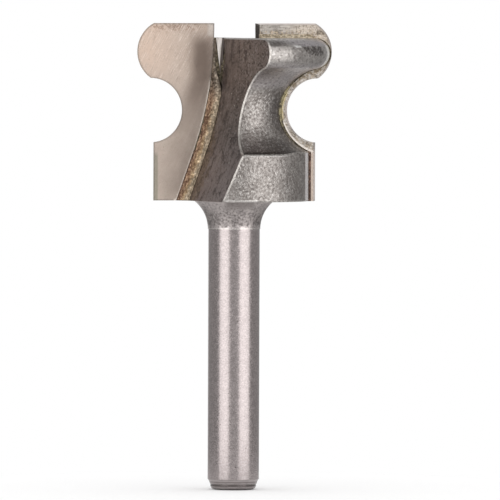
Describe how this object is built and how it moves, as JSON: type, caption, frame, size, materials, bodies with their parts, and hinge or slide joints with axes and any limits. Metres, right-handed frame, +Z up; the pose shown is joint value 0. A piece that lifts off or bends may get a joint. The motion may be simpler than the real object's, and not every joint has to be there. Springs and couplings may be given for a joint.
{
  "type": "router bit",
  "caption": "Two-flute finger-grip router bit: a steel shank and relieved head with brazed carbide tips that cut a rounded bead over a deep cove.",
  "frame": {"origin": "centre of the shank's end face", "axes": "+Z up the axis from the shank to the cutting end; the outermost points of both cutting edges lie on X; the front tip is on the -X side and faces -Y"},
  "size_m": [0.0242, 0.0226, 0.0576],
  "materials": {
    "steel": "satin ground shank, fine blasted head, milled gullets",
    "carbide": "diamond ground sintered carbide, fine diagonal scratches",
    "braze": "rough golden brown brazing filler"
  },
  "bodies": {
    "root": {"steel_body": "steel", "carbide_tip_front": "carbide", "carbide_tip_back": "carbide", "braze_seam_front": "braze", "braze_seam_back": "braze"}
  },
  "joints": []
}
